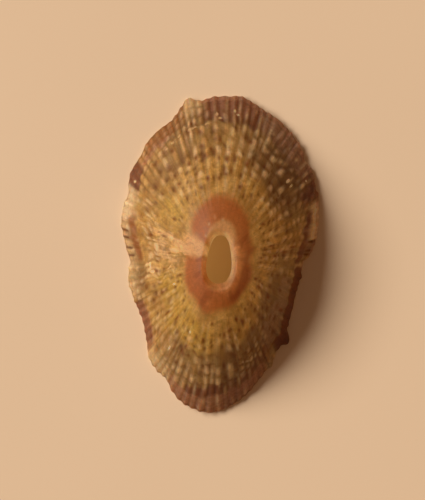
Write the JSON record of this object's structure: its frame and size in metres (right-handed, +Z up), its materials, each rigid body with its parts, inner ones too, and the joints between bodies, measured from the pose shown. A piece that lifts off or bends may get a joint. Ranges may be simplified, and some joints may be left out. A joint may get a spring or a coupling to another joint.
{
  "type": "keyhole limpet shell",
  "caption": "Low oval ribbed shell cone, hollow below, with a keyhole-shaped opening through its top and a scalloped margin that it rests on.",
  "frame": {"origin": "middle of the shell's resting outline, in the plane that its margin rests on", "axes": "+Z up through the keyhole; +Y along the shell's length towards its broad rear end, -Y towards the narrow front end; +X across it, right as seen from above with +Y away from the viewer"},
  "size_m": [0.0157, 0.025, 0.0072],
  "materials": {
    "shell": "satin"
  },
  "bodies": {
    "root": {"shell": "shell"}
  },
  "joints": []
}
